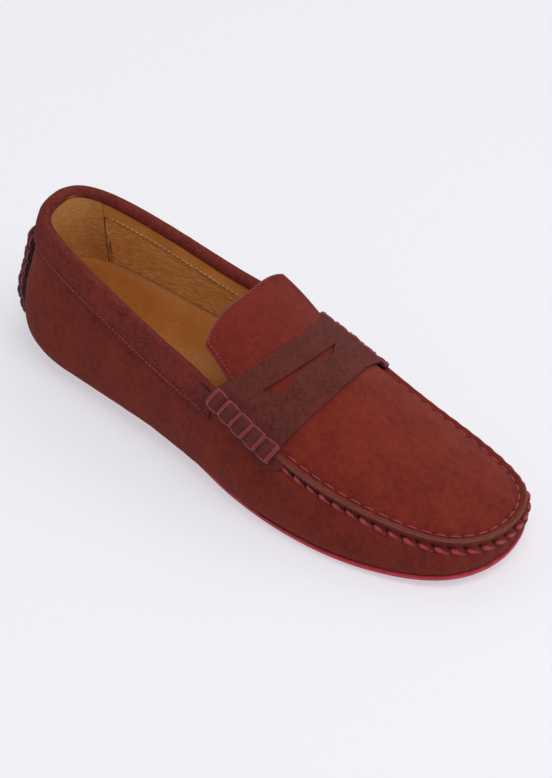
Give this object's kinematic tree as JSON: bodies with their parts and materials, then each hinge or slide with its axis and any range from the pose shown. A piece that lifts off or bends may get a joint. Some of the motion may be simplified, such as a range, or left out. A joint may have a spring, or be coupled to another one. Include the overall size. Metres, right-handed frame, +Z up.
{
  "type": "penny loafer",
  "caption": "Right driving-style penny loafer: one-piece suede upper, sewn apron, slotted saddle strap, laced side and heel rolls, studded rubber sole.",
  "frame": {"origin": "centre of the bounding box, at the lowest stud faces, so the shoe stands on z = 0", "axes": "+X from heel to toe, +Y towards the inner (medial) side of the right foot, +Z up"},
  "size_m": [0.274, 0.0954, 0.0781],
  "materials": {
    "suede": "burgundy suede, short nap",
    "apron_suede": "burgundy suede, smoother and slightly redder",
    "strap_suede": "darker burgundy suede with a long nap",
    "collar_suede": "burgundy suede with a rough nap",
    "stay_leather": "dark brown suede",
    "lining_leather": "tan grained calf lining",
    "heel_lining_leather": "tan lining, flesh side out for grip",
    "sock_leather": "smooth tan leather",
    "rubber": "crimson rubber, matt",
    "cord": "raspberry waxed thread",
    "thread": "raspberry sewing thread",
    "lining_thread": "cream sewing thread",
    "foam": "soft latex foam",
    "board": "pressed fibre board"
  },
  "bodies": {
    "shoe": {"apron": "apron_suede", "apron_lining": "lining_leather", "apron_seam_cord": "cord", "collar_band": "collar_suede", "collar_padding": "foam", "collar_stitching": "thread", "footbed_foam": "foam", "footbed_sock": "sock_leather", "heel_counter": "board", "heel_lining": "heel_lining_leather", "heel_roll": "stay_leather", "heel_roll_lacing": "cord", "heel_stay": "stay_leather", "inner_lining_stitching": "lining_thread", "inner_quarter_lining": "lining_leather", "inner_roll": "strap_suede", "inner_roll_lacing": "cord", "inner_roll_patch": "strap_suede", "insole_board": "board", "moccasin_upper": "suede", "outer_lining_stitching": "lining_thread", "outer_quarter_lining": "lining_leather", "outer_roll": "strap_suede", "outer_roll_lacing": "cord", "outer_roll_patch": "strap_suede", "outsole": "rubber", "saddle_strap": "strap_suede", "vamp_lining": "lining_leather"},
    "tongue": {"tongue": "apron_suede", "tongue_lining": "lining_leather", "tongue_stitching": "thread"}
  },
  "joints": [
    {"name": "tongue_lift", "type": "hinge", "parent": "shoe", "child": "tongue", "pos_m": [0.0165, 0, 0.0655], "axis": [0, 1, 0], "range_deg": [0, 20], "stiffness_Nm_per_rad": 0.1}
  ]
}
